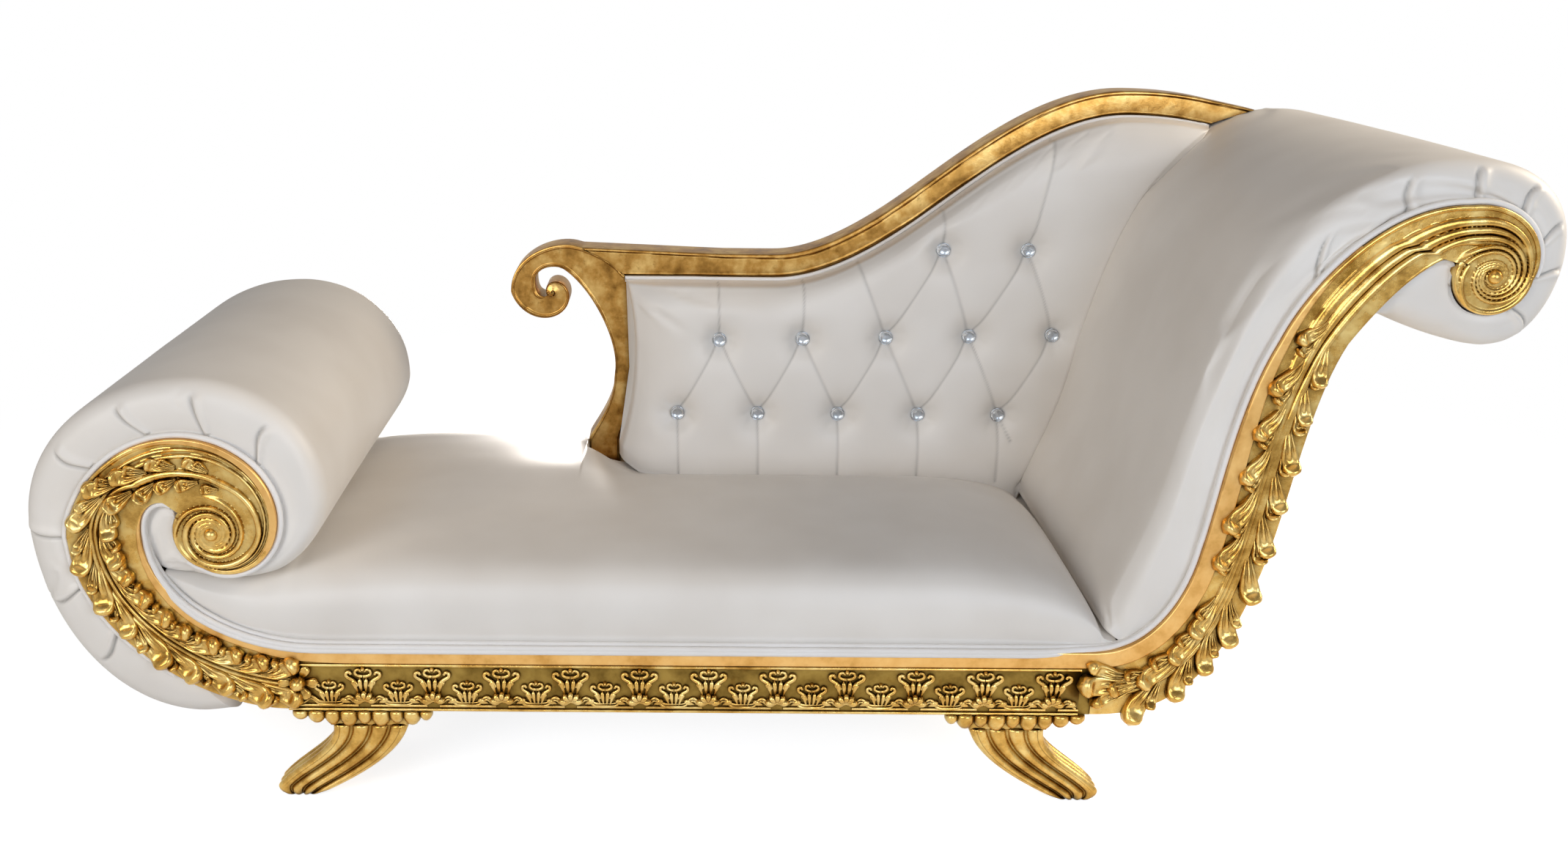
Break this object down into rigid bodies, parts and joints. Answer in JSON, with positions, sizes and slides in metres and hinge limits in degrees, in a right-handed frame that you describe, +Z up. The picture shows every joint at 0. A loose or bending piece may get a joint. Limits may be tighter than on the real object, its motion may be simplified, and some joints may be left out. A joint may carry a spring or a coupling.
{
  "type": "chaise longue",
  "caption": "Scroll-ended chaise longue with a gilded carved frame, padded foot roll, crowned seat, rolled head rest and a tufted back along one side.",
  "frame": {"origin": "on the floor under the middle of the object's box", "axes": "+X towards the high head end, +Y towards the back side, +Z up; the sitter gets on from -Y"},
  "size_m": [2.0385, 0.738, 0.977],
  "materials": {
    "gilt_wood": "carved hardwood, gold leaf over size, lightly polished",
    "gilt_carving": "carved and gilded ornament, darker in the recesses",
    "white_leather": "smooth white upholstery leather, soft sheen",
    "welt_leather": "white welt cord covered in the same leather",
    "foam": "upholstery foam",
    "button_cup": "bright metal cup",
    "crystal": "faceted clear glass",
    "steel": "zinc plated",
    "black_cloth": "thin woven lining cloth",
    "plywood": "birch plywood",
    "pine": "planed softwood"
  },
  "bodies": {
    "root": {"front_rail": "gilt_wood", "rear_rail": "gilt_wood", "front_foot_scroll": "gilt_wood", "rear_foot_scroll": "gilt_wood", "front_head_scroll": "gilt_wood", "rear_head_scroll": "gilt_wood", "foot_cross_rail": "pine", "head_cross_rail": "pine", "foot_middle_rail": "pine", "head_middle_rail": "pine", "corner_blocks": "pine", "rail_dowels": "pine", "seat_deck": "plywood", "deck_screws": "steel", "foot_cradle_panel": "plywood", "foot_end_panel": "plywood", "foot_roll_rod": "pine", "head_panel": "plywood", "head_roll_rod": "pine", "head_outside_cover": "white_leather", "seat_foam": "foam", "seat_cover": "white_leather", "foot_roll_foam": "foam", "foot_roll_cover": "white_leather", "head_rest_foam": "foam", "head_rest_cover": "white_leather", "arm_scroll": "gilt_wood", "arm_dowels": "pine", "back_rail": "gilt_wood", "back_stile": "pine", "back_bottom_rail": "pine", "back_panel": "plywood", "back_foam": "foam", "back_cover": "white_leather", "outside_back_cover": "white_leather", "button_cups": "button_cup", "crystal_buttons": "crystal", "front_foot_leg": "gilt_wood", "front_head_leg": "gilt_wood", "rear_foot_leg": "gilt_wood", "rear_head_leg": "gilt_wood", "front_foot_collar": "gilt_wood", "front_head_collar": "gilt_wood", "rear_foot_collar": "gilt_wood", "rear_head_collar": "gilt_wood", "leg_bolts": "steel", "seat_piping": "welt_leather", "foot_roll_piping": "welt_leather", "head_rest_piping": "welt_leather", "back_piping": "welt_leather", "frieze_top_bead": "gilt_carving", "frieze_bottom_beads": "gilt_carving", "frieze_palmettes": "gilt_carving", "frieze_garland": "gilt_carving", "foot_scroll_leaves": "gilt_carving", "head_scroll_leaves": "gilt_carving", "foot_volute_bead": "gilt_carving", "head_volute_bead": "gilt_carving", "dust_cover": "black_cloth"}
  },
  "joints": []
}
